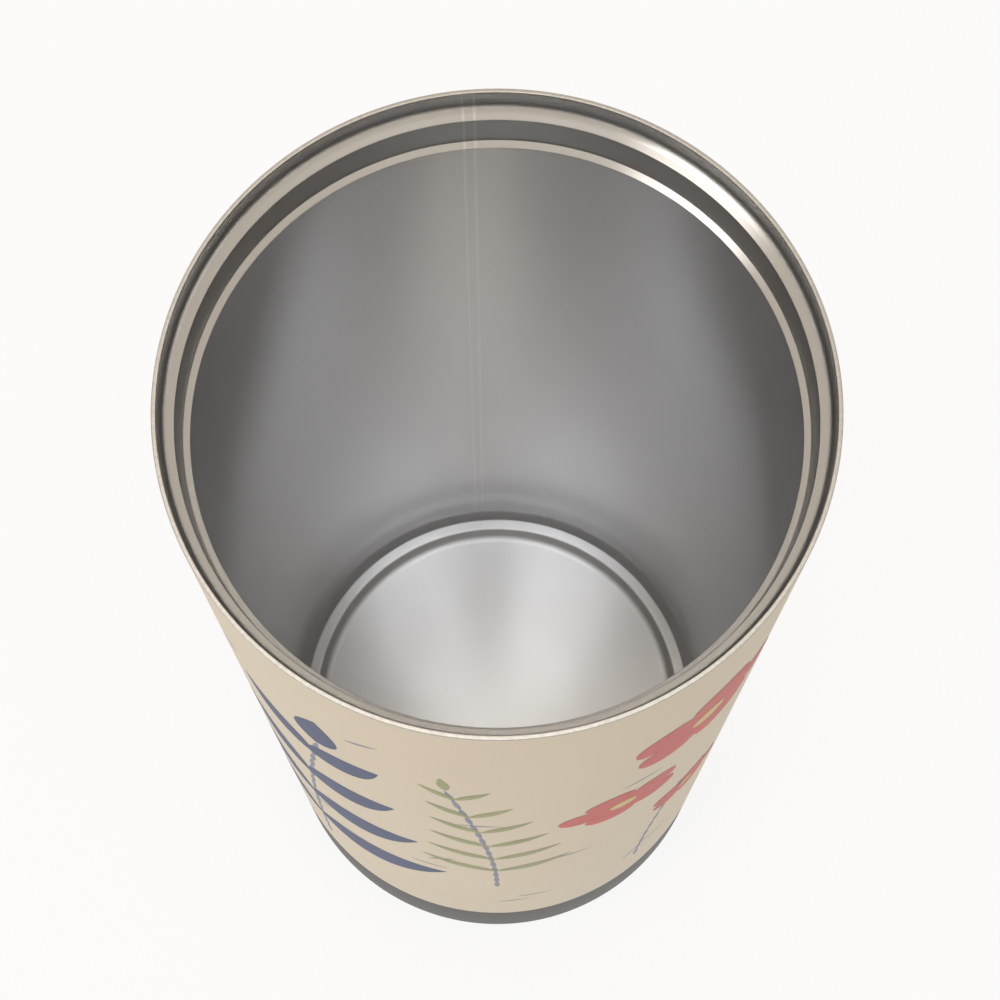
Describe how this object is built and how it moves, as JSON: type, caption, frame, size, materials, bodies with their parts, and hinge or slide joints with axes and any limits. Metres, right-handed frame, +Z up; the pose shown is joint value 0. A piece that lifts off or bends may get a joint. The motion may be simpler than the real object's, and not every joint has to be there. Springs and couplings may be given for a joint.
{
  "type": "coffee tin",
  "caption": "Open, straight double-walled steel coffee tin with a cream printed outer shell, a rolled mouth, a seamed steel liner and a bare steel foot.",
  "frame": {"origin": "centre of the ring that the tin stands on", "axes": "+Z up along the axis of the tin, -Y towards the viewer of the picture"},
  "size_m": [0.086, 0.086, 0.198],
  "materials": {
    "printed_shell": "matt cream coating with a printed design in coral, navy, olive and yellow",
    "liner_steel": "satin electropolished steel with a fine weld line",
    "floor_steel": "satin electropolished steel, pressed",
    "foot_steel": "fine satin steel, bare",
    "seal_glass": "dark sealing glass",
    "getter_steel": "dull steel capsule",
    "disc_steel": "fine satin steel"
  },
  "bodies": {
    "root": {"outer_shell": "printed_shell", "liner": "liner_steel", "liner_floor": "floor_steel", "base_cup": "foot_steel", "seal_bead": "seal_glass", "getter": "getter_steel", "base_disc": "disc_steel"}
  },
  "joints": []
}
